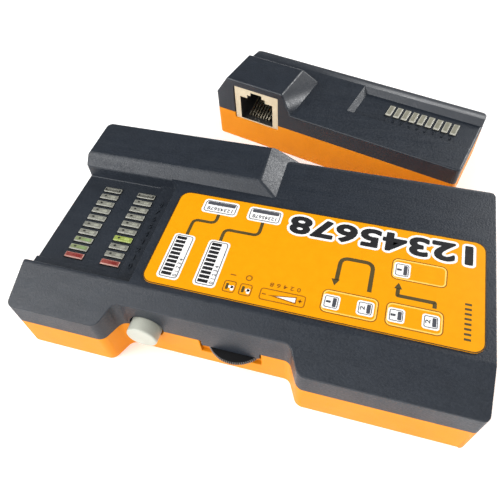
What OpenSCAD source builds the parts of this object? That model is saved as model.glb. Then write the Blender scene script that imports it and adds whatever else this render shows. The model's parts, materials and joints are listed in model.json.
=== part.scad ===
// Two-piece network cable tester: a main unit with two rear sockets, a
// push button, a speed wheel and two lamp columns, and a small remote unit
// with one socket and one lamp row. Sizes in millimetres. The origin is the
// middle of the main unit's underside, +Z up, +X along its length.

/* [Main unit] */
// Length of the main unit, left to right
main_len = 107.5; // [105:0.5:112]
// Depth of the main unit from the front datum line to the back wall
main_dep = 59.5; // [59:0.5:62]
// How far the front edge stands ahead of the front datum line
front_out = 0.45; // [0.3:0.05:0.6]
// Height of the flat deck that carries the label
deck_z = 21; // [21:0.1:22]
// Height of the raised ridge over the sockets
ridge_z = 23.8; // [23.5:0.1:25]
// Height of the line where the dark and orange shells meet
part_z = 10.5; // [10.4:0.1:10.8]
// Wall thickness of all four shells
wall = 1.8; // [1.5:0.1:1.9]

/* [Controls] */
// Radius of the white push button
button_r = 3.8; // [3.6:0.1:4]
// How far the button goes in
button_travel = 2; // [1:0.1:2.2]
// Radius of the knurled speed wheel
wheel_r = 7.5; // [7:0.1:7.6]
// Number of grooves round the wheel
wheel_teeth = 90; // [60:2:96]

/* [Lamps] */
// Lamps in each main column
lamps_main = 10; // [6:1:10]
// Spacing of the lamps in the main columns
lamp_pitch = 2.54; // [2.4:0.01:2.54]
// Lamps in the remote row
lamps_remote = 9; // [6:1:9]
// Spacing of the lamps in the remote row
lamp_pitch_r = 2.52; // [2.4:0.01:2.54]

/* [Remote unit] */
// Length of the remote unit
rem_len = 79.7; // [79:0.1:82]
// Depth of the remote unit
rem_dep = 29.4; // [29.2:0.1:31]
// Turn of the remote unit from the main unit's long side, degrees
rem_turn = -14.7; // [-20:0.1:-12]

/* [Hidden] */
$fn = 48;

e = 0.01;
pcb_t = 1.6;
pcb_z = 7.6;            // top face of both circuit boards
jack_w = 15.7;
jack_h = 12.8;
jack_back = 0.4;        // socket face behind the wall's outer face
rec_z = 17.2;           // floor of the main lamp recess
rx_x = 15.9;            // socket centres on the back wall
tx_x = 34.9;
rem_jx = 14.5;          // remote socket centre
rem_x0 = -0.6;          // left end of the remote unit
rem_pos = [-31.01, 60.15];
rdeck = 15.9;
rtop = 22.75;
rrec = 14.2;
notch_y = 5.3;
btn = [32.1, 11.2];
whl = [53.2, 10.4];
whl_z = [6.5, 7.9];
led_x = [9.05, 18.95];
led_y0 = 16.67;
led_top = 17.55;
rled = [52.93, 18.1];
rled_top = 14.65;
main_posts = [[5.2, 5.2], [4.9, 51.9], [main_len - 5.2, 5.2],
  [main_len - 5.2, main_dep - 5.2]];
board_posts = [[4.6, 26], [46.6, 24.4], [46.6, 54.9]];
rem_posts = [[5.2, 23.9], [31, 5], [rem_len - 4.9, 5], [rem_len - 4.9, 24.2]];
rem_board_posts = [[27.5, 23.4], [50, 6.2]];
door_x = 57.5;
door_y = [20.5, 50.5];

dark = [0.20, 0.23, 0.27];
orange = [0.98, 0.60, 0.16];
ivory = [0.90, 0.84, 0.69];
metal = [0.75, 0.76, 0.78];
gold = [0.83, 0.68, 0.36];
green = [0.10, 0.38, 0.20];
black = [0.05, 0.05, 0.06];

module at_main() translate([-main_len / 2, (front_out - main_dep) / 2, 0]) children();
module at_remote() translate([rem_pos[0], rem_pos[1], 0]) rotate([0, 0, rem_turn]) children();

// ---- helpers -------------------------------------------------------------
function unit(v) = v / norm(v);
// points of a rounded corner b between the points a and c
function fil(a, b, c, r, n = 6) =
  let(u = unit(a - b), v = unit(c - b), ang = acos(u * v),
      ctr = b + unit(u + v) * (r / sin(ang / 2)),
      s = b + u * (r / tan(ang / 2)), t = b + v * (r / tan(ang / 2)),
      a0 = atan2(s[1] - ctr[1], s[0] - ctr[0]),
      a1 = atan2(t[1] - ctr[1], t[0] - ctr[0]),
      da = ((a1 - a0 + 540) % 360) - 180)
  [for (i = [0:n]) ctr + r * [cos(a0 + da * i / n), sin(a0 + da * i / n)]];

// rectangle with true round corners
module rr(w, h, r) {
  translate([r, 0]) square([w - 2 * r, h]);
  translate([0, r]) square([w, h - 2 * r]);
  for (x = [r, w - r], y = [r, h - r]) translate([x, y]) circle(r);
}
// material outside a rounded corner, in the quarter +x +y
module corner_cut(r) difference() { square([r + 1, r + 1]); circle(r); }
// outline given in (y, z), run along x
module along_x(x0, x1) translate([x0, 0, 0]) rotate([90, 0, 90]) linear_extrude(x1 - x0) children();
// outline given in (x, z), run along y
module along_y(y0, y1) translate([0, y1, 0]) rotate([90, 0, 0]) linear_extrude(y1 - y0) children();
module box(x0, x1, y0, y1, z0, z1) translate([x0, y0, z0]) cube([x1 - x0, y1 - y0, z1 - z0]);

// finger notch in the front edge, with rounded ends
module notch2d() {
  f = -front_out;
  lo = [23.2, f]; li = [25.8, notch_y]; ri = [66.9, notch_y]; ro = [69.8, f];
  polygon(concat([[15, -3], [15, f]],
    fil([15, f], lo, li, 2.4), fil(lo, li, ri, 2.3),
    fil(li, ri, ro, 2.3), fil(ri, ro, [78, f], 2.4), [[78, f], [78, -3]]));
}
module notch_inner2d() polygon([[20.9, -1], [20.9, 1.8], [23.5, notch_y + wall],
  [69.3, notch_y + wall], [72.1, 1.8], [72.1, -1]]);
// outline with round corners of its own size at the front (rf) and back (rb)
module plan4(x0, x1, y0, y1, rf, rb) {
  translate([x0 + rf, y0]) square([x1 - x0 - 2 * rf, rf + e]);
  translate([x0, y0 + rf]) square([x1 - x0, y1 - y0 - rf - rb]);
  translate([x0 + rb, y1 - rb - e]) square([x1 - x0 - 2 * rb, rb + e]);
  for (x = [x0 + rf, x1 - rf]) translate([x, y0 + rf]) circle(rf);
  for (x = [x0 + rb, x1 - rb]) translate([x, y1 - rb]) circle(rb);
}
module main_plan() difference() { plan4(0, main_len, -front_out, main_dep, 1.4, 3.5); notch2d(); }
module main_inner_plan() difference() {
  translate([wall, wall]) rr(main_len - 2 * wall, main_dep - 2 * wall, 2);
  notch_inner2d();
}
module screw(h_r, h_t, s_r, len) {
  difference() {
    cylinder(r = h_r, h = h_t);
    for (a = [0, 90]) rotate([0, 0, a]) translate([-h_r * 0.6, -0.3, -e]) cube([h_r * 1.2, 0.6, h_t * 0.5]);
  }
  translate([0, 0, h_t - e]) cylinder(r = s_r, h = len - h_t);
}

// ---- main shells ---------------------------------------------------------
module main_upper_solid() {
  intersection() {
    translate([0, 0, part_z]) linear_extrude(20) main_plan();
    union() {
      along_x(0, main_len) difference() {
        polygon([[-front_out, part_z], [-front_out, deck_z - 3.55 - 0.355 * front_out], [10, deck_z], [main_dep, deck_z], [main_dep, part_z]]);
        translate([main_dep - 3, deck_z - 3]) corner_cut(3);
      }
      intersection() {
        along_x(0, main_len) difference() {
          polygon([[42.6, 14], [42.6, deck_z - 1], [43.6, deck_z], [46.4, ridge_z], [main_dep, ridge_z], [main_dep, 14]]);
          translate([main_dep - 1, ridge_z - 1]) corner_cut(1);
        }
        along_y(30, main_dep) polygon([[0, 14], [0, ridge_z - 0.5], [0.5, ridge_z], [49.3, ridge_z], [49.3 + 1.71 * (ridge_z - 14), 14]]);
      }
    }
  }
}
module main_cavity() intersection() {
  translate([0, 0, part_z - 1]) linear_extrude(20) main_inner_plan();
  union() {
    box(0, 29.3, 0, main_dep, 0, 15.6);
    along_x(0, main_len) polygon([[0, 0], [0, deck_z - 5], [9, deck_z - 2.1], [9, 0]]);
    along_x(29.3, main_len) polygon([[0, 0], [0, deck_z - 5], [9.7, deck_z - wall], [main_dep - 3, deck_z - wall], [main_dep - wall, deck_z - 3], [main_dep - wall, 0]]);
    along_x(0, 47.5) polygon([[45, 0], [45, deck_z - 0.4], [47, ridge_z - 1.6], [main_dep, ridge_z - 1.6], [main_dep, 0]]);
  }
}
// socket openings and button hole shared by both main shells
module main_openings() {
  for (x = [rx_x, tx_x]) {
    box(x - 8.05, x + 8.05, main_dep - 3, main_dep + 1, pcb_z + 1, pcb_z + jack_h + 0.2);
    box(x - 8.05, x + 8.05, main_dep - 3, main_dep - 0.35, pcb_z - 0.2, pcb_z + jack_h + 0.2);
  }
  translate([btn[0], -1, btn[1]]) rotate([-90, 0, 0]) cylinder(r = button_r + 0.4, h = 10);
}
module recess_plan(x1, y0, r) {
  translate([-1, y0]) square([x1 - r + 1, 43.6 - y0]);
  translate([-1, y0]) square([x1 + 1, 43.6 - y0 - r]);
  translate([x1 - r, 43.6 - r]) circle(r);
}
module main_top_shell() color(dark) at_main() difference() {
  union() {
    difference() { main_upper_solid(); main_cavity(); }
    intersection() {
      main_upper_solid();
      for (p = main_posts) translate([p[0], p[1], part_z]) cylinder(r = 2.9, h = 11.7);
    }
    // tab that closes the slot above the wheel
    box(45.6, 59.85, notch_y, notch_y + 1.6, 8.25, part_z + 1);
  }
  main_openings();
  for (p = main_posts) translate([p[0], p[1], part_z - 1]) cylinder(r = 1.36, h = 6.5);
  translate([0, 0, rec_z + 0.7]) linear_extrude(10) recess_plan(27.5, 10.9, 2);
  translate([0, 0, rec_z]) linear_extrude(10) recess_plan(22.6, 14.2, 1);
  for (x = led_x, i = [0:lamps_main - 1])
    box(x - 2.6, x + 2.6, led_y0 + i * lamp_pitch - 1, led_y0 + i * lamp_pitch + 1, 15, 18);
}
module main_bottom_shell() color(orange) at_main() difference() {
  union() {
    difference() {
      linear_extrude(part_z) main_plan();
      translate([0, 0, wall]) linear_extrude(20) main_inner_plan();
    }
    for (p = main_posts) translate([p[0], p[1], 0]) {
      cylinder(r = 2.9, h = part_z);
      cylinder(r = 3.4, h = 3.6);
    }
    for (p = board_posts) translate([p[0], p[1], 0]) cylinder(r = 2.2, h = pcb_z - pcb_t);
  }
  main_openings();
  // slot for the speed wheel, with a shallow pocket below it
  box(45.2, 60.2, notch_y - 2, notch_y + 4, 6, part_z + 1);
  box(44.8, 61.6, notch_y + 0.25, notch_y + 4, 6, part_z + 1);
  box(45.2, 60.2, notch_y - 2, notch_y + 1.1, 5.05, part_z);
  for (p = main_posts) translate([p[0], p[1], -1]) {
    cylinder(r = 1.38, h = 20);
    cylinder(r = 2.75, h = 3.2);
  }
  for (p = board_posts) translate([p[0], p[1], wall]) cylinder(r = 1.06, h = 20);
  box(door_x, main_len + 1, door_y[0], door_y[1], -1, wall + e);
  box(door_x + 1, main_len + 1, door_y[0] - 0.8, door_y[1] + 0.8, 0.6, 1.3);
  box(main_len - 3, main_len + 1, door_y[0], door_y[1], -1, 9);
}
module battery_door() color(orange) at_main() difference() {
  union() {
    box(door_x + 0.15, main_len, door_y[0] + 0.15, door_y[1] - 0.15, 0, 1.7);
    box(door_x + 2, main_len - 2.5, door_y[0] - 0.65, door_y[1] + 0.65, 0.7, 1.2);
    box(main_len - wall, main_len, door_y[0] + 0.15, door_y[1] - 0.15, 0, 8.9);
  }
  for (i = [0:5]) box(93 + i * 1.8, 93.9 + i * 1.8, 28, 43, -1, 0.4);
}
module front_label() color([0.99, 0.66, 0.12]) at_main()
  translate([30.05, 11.6, deck_z]) linear_extrude(0.25) rr(75.2, 28.9, 2.6);

// ---- boards --------------------------------------------------------------
module main_pcb() color(green) at_main() translate([0, 0, pcb_z - pcb_t]) linear_extrude(pcb_t) difference() {
  union() {
    translate([2.3, 8.8]) square([46.8, 48.6]);
    translate([2.3, 8.8]) square([54.7, 13.9]);
  }
  translate([4.9, 51.9]) circle(3.4);
  for (p = board_posts) translate(p) circle(1.35);
  translate(whl) circle(wheel_r + 0.6);
  translate([whl[0] - wheel_r - 0.6, 0]) square([2 * wheel_r + 1.2, whl[1]]);
  translate([btn[0] - 2.7, 0]) square([5.4, 12.95]);
  translate([2.3, 57.4]) rotate(45) square([2.2, 2.2], center = true);
  for (x = [rx_x, tx_x]) {
    translate([x - 4.7, main_dep - jack_back - 11.6]) square([9.4, 4.2]);
    for (s = [-5.7, 5.7]) translate([x + s, main_dep - jack_back - 13.9]) circle(1.63);
  }
}
module jack_housing() color(ivory) difference() {
  union() {
    box(-jack_w / 2, jack_w / 2, 0, 13.2, 0, jack_h);
    box(-jack_w / 2, jack_w / 2, 13.2 - e, 17.2, 0, 7.2);
    for (s = [-5.7, 5.7]) translate([s, 13.9, -2]) cylinder(r = 1.55, h = 2 + e);
  }
  box(-5.85, 5.85, -1, 12.2, 1.35, 9.5);
  box(-3.15, 3.15, -1, 11.0, 9.4, 10.65);
  box(-1.95, 1.95, -1, 9.0, 10.6, 11.8);
  box(-4.7, 4.7, 7.4, 11.6, -1, 1.4);
}
module jack_contacts() color(gold) for (i = [0:7]) translate([(i - 3.5) * 1.02, 0, 0]) {
  translate([-0.2, 0, 0]) rotate([90, 0, 90]) linear_extrude(0.4)
    polygon([[2.0, 1.4], [11.4, 1.4], [11.4, 1.8], [2.25, 1.8], [2.1, 1.95], [2.1, 2.1], [10.9, 6.4], [10.75, 6.75], [1.7, 2.35], [1.7, 1.65]]);
  y = (i % 2 == 0) ? 8.4 : 10.4;
  box(-0.2, 0.2, y - 0.2, y + 0.2, -3, 1.4 + e);
}
module rear_jack(x) at_main() translate([x, main_dep - jack_back, pcb_z]) rotate([0, 0, 180]) children();
module rx_jack_housing() rear_jack(rx_x) jack_housing();
module tx_jack_housing() rear_jack(tx_x) jack_housing();
module rx_jack_contacts() rear_jack(rx_x) jack_contacts();
module tx_jack_contacts() rear_jack(tx_x) jack_contacts();

// ---- lamps ---------------------------------------------------------------
module led(w, d, h) difference() {
  box(-w / 2, w / 2, -d / 2, d / 2, 0, h);
  box(-w / 2 - 1, w / 2 + 1, -d / 2 - 1, -d / 2 + 0.15, 1.2, 1.6);
}
module main_leds(x, i0, i1) at_main() for (i = [i0:i1])
  translate([x, led_y0 + i * lamp_pitch, led_top - 7]) led(5, 1.85, 7);
module rx_leds() color([0.75, 0.78, 0.70]) main_leds(led_x[0], 1, lamps_main - 1);
module rx_end_led() color([0.70, 0.25, 0.22]) main_leds(led_x[0], 0, 0);
module tx_leds() color([0.75, 0.80, 0.60]) main_leds(led_x[1], 1, lamps_main - 1);
module tx_end_led() color([0.70, 0.25, 0.22]) main_leds(led_x[1], 0, 0);
module main_led_leads() color(metal) at_main()
  for (x = led_x, i = [0:lamps_main - 1], s = [-1.27, 1.27])
    translate([x + s, led_y0 + i * lamp_pitch, pcb_z]) translate([-0.25, -0.25, 0]) cube([0.5, 0.5, led_top - 7 - pcb_z]);

// ---- button and switch -----------------------------------------------------
module along_button(y0) at_main() translate([btn[0], y0, btn[1]]) rotate([-90, 0, 0]) children();
module power_button() color([0.92, 0.92, 0.88]) along_button(2.1) difference() {
  union() {
    cylinder(r = button_r - 0.35, h = 8.4);
    translate([0, 0, 0.35]) cylinder(r = button_r, h = 6);
  }
  translate([0, 0, 2.4]) cylinder(r = 2.7, h = 7);
}
module switch_plunger() color([0.15, 0.15, 0.16]) along_button(4.55) {
  cylinder(r = 2, h = 7.7);
  translate([-1.5, -1.5, 7.7 - e]) cube([3, 3, 6]);
}
module switch_spring() color(metal) along_button(12.6) difference() {
  cylinder(r = 2.85, h = 5.5);
  translate([0, 0, -1]) cylinder(r = 2.45, h = 8);
  for (i = [0:4]) translate([-4, -4, 0.6 + i * 1.0]) cube([8, 6.1, 0.5]);
}
module switch_housing() color(black) at_main() difference() {
  box(btn[0] - 3.7, btn[0] + 3.7, 13, 26, pcb_z, 15);
  translate([btn[0], 12, btn[1]]) rotate([-90, 0, 0]) cylinder(r = 3.2, h = 12.5);
}
module switch_terminals() color(metal) at_main() for (i = [0:2], s = [-2.5, 2.5])
  box(btn[0] + s - 0.25, btn[0] + s + 0.25, 15.5 + i * 3.5, 16.3 + i * 3.5, pcb_z - pcb_t - 1.6, pcb_z - pcb_t);

// ---- speed wheel and control -----------------------------------------------
module speed_wheel() color(black) at_main() translate([whl[0], whl[1], whl_z[0]]) difference() {
  linear_extrude(whl_z[1] - whl_z[0]) polygon([for (i = [0:2 * wheel_teeth - 1])
    let(a = i * 180 / wheel_teeth, r = (i % 2 == 0) ? wheel_r : wheel_r - 0.32) [r * cos(a), r * sin(a)]]);
  translate([0, 0, 1]) cylinder(r = 2.6, h = 5);
  translate([0, 0, -1]) cylinder(r = 1.25, h = 5);
  for (i = [0:4]) rotate([0, 0, i * 72]) translate([3.9, 0, -1]) cylinder(r = 0.7, h = 5);
}
module wheel_screw() color(metal) at_main() translate([whl[0], whl[1], whl_z[1] + 0.6]) rotate([180, 0, 0]) screw(2.1, 0.9, 1.0, 3.9);
module pot_rotor() color([0.85, 0.85, 0.8]) at_main() translate([whl[0], whl[1], 3.6]) difference() {
  cylinder(r = 2.4, h = whl_z[0] - 3.6);
  translate([0, 0, 0.8]) cylinder(r = 1.06, h = 9);
}
module pot_body() color([0.25, 0.2, 0.15]) at_main() difference() {
  box(whl[0] - 6, whl[0] + 6, notch_y + wall + 0.2, whl[1] + 6, 2.6, pcb_z - pcb_t);
  translate([whl[0], whl[1], 3.2]) cylinder(r = 2.75, h = 5);
}
module pot_terminals() color(metal) at_main() for (s = [-4, -1, 2]) {
  box(whl[0] + s - 0.4, whl[0] + s + 0.4, whl[1] + 6, whl[1] + 9.6, 3.6, 4);
  box(whl[0] + s - 0.4, whl[0] + s + 0.4, whl[1] + 9.1, whl[1] + 9.6, 3.6, pcb_z - pcb_t);
}

// ---- battery -----------------------------------------------------------------
module battery_case() color([0.12, 0.13, 0.15]) at_main() translate([58, 22.25, 1.9]) {
  difference() {
    translate([0, 13.25, 8.6]) rotate([0, 90, 0]) translate([0, 0, 0]) linear_extrude(46.4)
      translate([-8.6, -13.25]) rr(17.2, 26.5, 1.8);
    box(-1, 0.6, 1.8, 24.7, 1.8, 15.4);
  }
}
module battery_terminals() color(metal) at_main() {
  translate([56, 29.2, 10.5]) rotate([0, 90, 0]) cylinder(r = 2.8, h = 2.6);
  translate([56, 41.8, 10.5]) rotate([0, 90, 0]) difference() {
    cylinder(r = 4, h = 2.6);
    translate([0, 0, -1]) cylinder(r = 3.1, h = 2.8);
  }
}
module battery_snap() color(black) at_main() difference() {
  box(53.4, 55.9, 23.5, 47.5, 4.2, 16.8);
  for (y = [29.2, 41.8]) translate([55.4, y, 10.5]) rotate([0, 90, 0]) cylinder(r = 2.2, h = 3);
}
module lead(y, z0) at_main() {
  // one loop of wire from the board up and over to the snap
  translate([46, y, pcb_z]) cylinder(r = 0.65, h = z0 - pcb_z - 2);
  translate([48, y, z0 - 2]) rotate([90, 0, 0]) rotate([0, 0, 90]) rotate_extrude(angle = 90) translate([2, 0]) circle(0.65);
  translate([48, y, z0]) rotate([0, 90, 0]) cylinder(r = 0.65, h = 5.4);
}
module battery_lead_red() color([0.75, 0.1, 0.08]) lead(34, 13.5);
module battery_lead_black() color(black) lead(37.5, 13.5);

// ---- board parts ---------------------------------------------------------------
module chip(w, l, n) {
  difference() {
    box(-w / 2, w / 2, -l / 2, l / 2, 0.7, 4);
    translate([0, -l / 2, 3.2]) cylinder(r = 0.8, h = 2);
  }
}
module chip_legs(w, l, n) for (i = [0:n - 1], s = [-1, 1]) {
  y = (i - (n - 1) / 2) * 2.54;
  box(s > 0 ? w / 2 : -w / 2 - 0.65, s > 0 ? w / 2 + 0.65 : -w / 2, y - 0.6, y + 0.6, 2.1, 2.4);
  box(s > 0 ? w / 2 + 0.35 : -w / 2 - 0.65, s > 0 ? w / 2 + 0.65 : -w / 2 - 0.35, y - 0.3, y + 0.3, 0, 2.1 + e);
}
module at_controller() at_main() translate([40.2, 31.2, pcb_z]) children();
module at_timer() at_main() translate([40.0, 14.8, pcb_z]) children();
module controller_chip() color(black) at_controller() chip(6.2, 19.4, 7);
module controller_legs() color(metal) at_controller() chip_legs(6.2, 19.4, 7);
module timer_chip() color(black) at_timer() chip(5.4, 9.6, 3);
module timer_legs() color(metal) at_timer() chip_legs(5.4, 9.6, 3);
module at_resistor() at_main() for (i = [0:6]) translate([25.6, 15.2 + i * 3.3, pcb_z + 1.3]) children();
module resistors() color([0.76, 0.66, 0.48]) at_resistor() rotate([0, 90, 0]) translate([0, 0, -1.9]) cylinder(r = 1, h = 3.8);
module resistor_leads() color(metal) at_resistor() for (s = [-1, 1]) {
  box(s > 0 ? 1.9 : -2.6, s > 0 ? 2.6 : -1.9, -0.25, 0.25, -0.25, 0.25);
  box(s > 0 ? 2.1 : -2.6, s > 0 ? 2.6 : -2.1, -0.25, 0.25, -1.3, -0.24);
}
module capacitors() color([0.15, 0.17, 0.3]) at_main() for (p = [[33.2, 30.4], [33.2, 37.4]])
  translate([p[0], p[1], pcb_z]) difference() {
    cylinder(r = 2.5, h = 7.4);
    translate([0, 0, 1.1]) difference() { cylinder(r = 3, h = 0.5); translate([0, 0, -1]) cylinder(r = 2.3, h = 3); }
  }
module case_screws() color(metal) at_main() for (p = main_posts) translate([p[0], p[1], 0.6]) screw(2.35, 1.6, 1.3, 14);
module pcb_screws() color(metal) at_main() for (p = board_posts)
  translate([p[0], p[1], pcb_z + 1.4]) rotate([180, 0, 0]) screw(2.0, 1.4, 1.0, 6.4);

// ---- remote unit ---------------------------------------------------------------
module rem_plan() plan4(rem_x0, rem_len, 0, rem_dep, 1.3, 1.6);
module rem_inner_plan() translate([wall, wall]) rr(rem_len - 2 * wall, rem_dep - 2 * wall, 1);
module rem_upper_solid() intersection() {
  translate([0, 0, part_z]) linear_extrude(20) rem_plan();
  union() {
    along_x(rem_x0, rem_len) polygon([[0, part_z], [0, rdeck], [24.8, rdeck], [rem_dep, rdeck - 0.9], [rem_dep, part_z]]);
    intersection() {
      along_x(rem_x0, rem_len) polygon([[0, part_z], [0, rtop], [14.4, rtop], [20, rdeck], [20, part_z]]);
      along_y(0, 21) polygon([[rem_x0, part_z], [rem_x0, 15.9], [4.2, rtop], [24, rtop], [26.2, 17.7], [27, rdeck], [27, part_z]]);
    }
  }
}
module rem_cavity() intersection() {
  translate([0, 0, part_z - 1]) linear_extrude(20) rem_inner_plan();
  union() {
    box(0, 39.6, 0, rem_dep, 0, rdeck - wall);
    box(39, rem_len, 0, rem_dep, 0, rrec - 1.6);
    intersection() {
      along_x(0, 40) polygon([[0, 0], [0, 21.2], [13.4, 21.2], [19.2, 14.1], [19.2, 0]]);
      along_y(0, 21) polygon([[1.8, 0], [1.8, 15.8], [5.46, 21.2], [22.8, 21.2], [24.6, 16.5], [24.6, 0]]);
    }
  }
}
module rem_openings() {
  box(rem_jx - 8.05, rem_jx + 8.05, -1, 3, pcb_z + 1, pcb_z + jack_h + 0.2);
  box(rem_jx - 8.05, rem_jx + 8.05, 0.35, 3, pcb_z - 0.2, pcb_z + jack_h + 0.2);
}
module remote_top_shell() color(dark) at_remote() difference() {
  union() {
    difference() { rem_upper_solid(); rem_cavity(); }
    intersection() {
      rem_upper_solid();
      for (p = rem_posts) translate([p[0], p[1], part_z]) cylinder(r = 2.7, h = 3.8);
    }
  }
  rem_openings();
  for (p = rem_posts) translate([p[0], p[1], part_z - 1]) cylinder(r = 1.06, h = 4);
  intersection() {
    along_x(40, rem_len + 1) polygon([[10.5, rrec], [23.4, rrec], [24.8, rdeck + e], [24.8, 18], [10.5, 18]]);
    along_y(0, rem_dep) polygon([[43, rrec], [rem_len + 1, rrec], [rem_len + 1, 18], [41.4, 18], [41.4, rdeck + e]]);
  }
  for (i = [0:lamps_remote - 1])
    box(rled[0] + i * lamp_pitch_r - 1, rled[0] + i * lamp_pitch_r + 1, rled[1] - 2.6, rled[1] + 2.6, 11, 18);
}
module remote_bottom_shell() color(orange) at_remote() difference() {
  union() {
    difference() {
      linear_extrude(part_z) rem_plan();
      translate([0, 0, wall]) linear_extrude(20) rem_inner_plan();
    }
    for (p = rem_posts) translate([p[0], p[1], 0]) {
      cylinder(r = 2.7, h = part_z);
      cylinder(r = 3.1, h = 3.2);
    }
    for (p = rem_board_posts) translate([p[0], p[1], 0]) cylinder(r = 2.2, h = pcb_z - pcb_t);
  }
  rem_openings();
  for (p = rem_posts) translate([p[0], p[1], -1]) {
    cylinder(r = 1.08, h = 20);
    cylinder(r = 2.4, h = 3);
  }
  for (p = rem_board_posts) translate([p[0], p[1], wall]) cylinder(r = 1.06, h = 20);
}
module remote_pcb() color(green) at_remote() translate([0, 0, pcb_z - pcb_t]) linear_extrude(pcb_t) difference() {
  translate([2.3, 2.3]) square([rem_len - 4.6, rem_dep - 4.6]);
  for (p = rem_posts) translate([p[0] - 3.2, p[1] - 3.2]) square([6.4, 6.4]);
  for (p = rem_board_posts) translate(p) circle(1.35);
  translate([rem_jx - 4.7, jack_back + 7.4]) square([9.4, 4.2]);
  for (s = [-5.7, 5.7]) translate([rem_jx + s, jack_back + 13.9]) circle(1.63);
}
module remote_jack_housing() at_remote() translate([rem_jx, jack_back, pcb_z]) jack_housing();
module remote_jack_contacts() at_remote() translate([rem_jx, jack_back, pcb_z]) jack_contacts();
module remote_leds() color([0.80, 0.80, 0.72]) at_remote() for (i = [0:lamps_remote - 1])
  translate([rled[0] + i * lamp_pitch_r, rled[1], rled_top - 6]) rotate([0, 0, 90]) led(5, 1.85, 6);
module remote_led_leads() color(metal) at_remote()
  for (i = [0:lamps_remote - 1], s = [-1.27, 1.27])
    translate([rled[0] + i * lamp_pitch_r - 0.25, rled[1] + s - 0.25, pcb_z]) cube([0.5, 0.5, rled_top - 6 - pcb_z]);
module at_diode() at_remote() for (i = [0:7]) translate([31 + i * 2.6, 15, pcb_z + 1.2]) children();
module remote_diodes() color([0.7, 0.35, 0.2]) at_diode() rotate([-90, 0, 0]) translate([0, 0, -1.9]) cylinder(r = 0.9, h = 3.8);
module remote_diode_leads() color(metal) at_diode() for (s = [-1, 1]) {
  box(-0.25, 0.25, s > 0 ? 1.9 : -3, s > 0 ? 3 : -1.9, -0.25, 0.25);
  box(-0.25, 0.25, s > 0 ? 2.5 : -3, s > 0 ? 3 : -2.5, -1.2, -0.24);
}
module remote_case_screws() color(metal) at_remote() for (p = rem_posts) translate([p[0], p[1], 0.5]) screw(2.05, 1.5, 1.0, 11.5);
module remote_pcb_screws() color(metal) at_remote() for (p = rem_board_posts)
  translate([p[0], p[1], pcb_z + 1.4]) rotate([180, 0, 0]) screw(2.0, 1.4, 1.0, 6.4);

main_top_shell();
main_bottom_shell();
front_label();
battery_door();
main_pcb();
rx_jack_housing();
rx_jack_contacts();
tx_jack_housing();
tx_jack_contacts();
rx_leds();
rx_end_led();
tx_leds();
tx_end_led();
main_led_leads();
power_button();
switch_plunger();
switch_spring();
switch_housing();
switch_terminals();
speed_wheel();
wheel_screw();
pot_rotor();
pot_body();
pot_terminals();
battery_case();
battery_terminals();
battery_snap();
battery_lead_red();
battery_lead_black();
controller_chip();
controller_legs();
timer_chip();
timer_legs();
resistors();
resistor_leads();
capacitors();
case_screws();
pcb_screws();
remote_top_shell();
remote_bottom_shell();
remote_jack_housing();
remote_jack_contacts();
remote_pcb();
remote_leds();
remote_led_leads();
remote_diodes();
remote_diode_leads();
remote_case_screws();
remote_pcb_screws();
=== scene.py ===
import json
import math

import bmesh
import bpy
from mathutils import Matrix, Vector
from mathutils.bvhtree import BVHTree


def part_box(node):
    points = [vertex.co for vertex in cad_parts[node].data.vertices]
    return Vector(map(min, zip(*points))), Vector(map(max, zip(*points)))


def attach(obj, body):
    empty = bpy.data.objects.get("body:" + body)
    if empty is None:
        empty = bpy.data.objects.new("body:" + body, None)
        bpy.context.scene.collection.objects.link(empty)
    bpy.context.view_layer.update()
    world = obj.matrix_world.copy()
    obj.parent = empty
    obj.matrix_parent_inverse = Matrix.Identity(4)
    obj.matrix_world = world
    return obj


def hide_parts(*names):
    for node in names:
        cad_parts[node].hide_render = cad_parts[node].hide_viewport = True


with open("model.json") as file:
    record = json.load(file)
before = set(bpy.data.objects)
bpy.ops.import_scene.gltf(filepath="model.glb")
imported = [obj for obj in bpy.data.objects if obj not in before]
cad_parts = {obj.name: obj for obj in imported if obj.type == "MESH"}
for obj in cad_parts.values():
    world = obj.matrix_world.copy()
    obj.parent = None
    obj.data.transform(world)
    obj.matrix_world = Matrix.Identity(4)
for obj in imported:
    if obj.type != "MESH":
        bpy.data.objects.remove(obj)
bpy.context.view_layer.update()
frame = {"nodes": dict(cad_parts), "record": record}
NODES = frame["nodes"]
MM = 0.001

# ---------------------------------------------------------------- places
mb_lo, mb_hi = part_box("main_bottom_shell")
lab_lo, lab_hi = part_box("front_label")
rb_lo, rb_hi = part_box("remote_bottom_shell")
CORNER = Vector((mb_lo.x, mb_lo.y + 0.45 * MM, 0.0))   # left end on the main unit's front datum line
PART_Z = mb_hi.z
TURN = math.radians(-14.7)                    # the remote unit's turn, as in the CAD
REM = Vector((-31.01 * MM, 60.15 * MM, 0.0))   # the remote unit's own corner


def M(x, y, z):
    """Main unit's corner frame in mm -> row frame in m."""
    return CORNER + Vector((x, y, z)) * MM


def R(x, y, z):
    """Remote unit's own frame in mm -> row frame in m."""
    c, s = math.cos(TURN), math.sin(TURN)
    return REM + Vector((x * c - y * s, x * s + y * c, z)) * MM


def to_main(p):
    return (p - CORNER) / MM


def to_rem(p):
    d = (p - REM) / MM
    c, s = math.cos(TURN), math.sin(TURN)
    return Vector((d.x * c + d.y * s, -d.x * s + d.y * c, d.z))


# ---------------------------------------------------------------- materials
def mat_new(name):
    m = bpy.data.materials.new(name)
    m.use_nodes = True
    nt = m.node_tree
    for n in list(nt.nodes):
        nt.nodes.remove(n)
    out = nt.nodes.new("ShaderNodeOutputMaterial")
    b = nt.nodes.new("ShaderNodeBsdfPrincipled")
    nt.links.new(b.outputs[0], out.inputs[0])
    tc = nt.nodes.new("ShaderNodeTexCoord")
    return m, nt, b, tc


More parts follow.
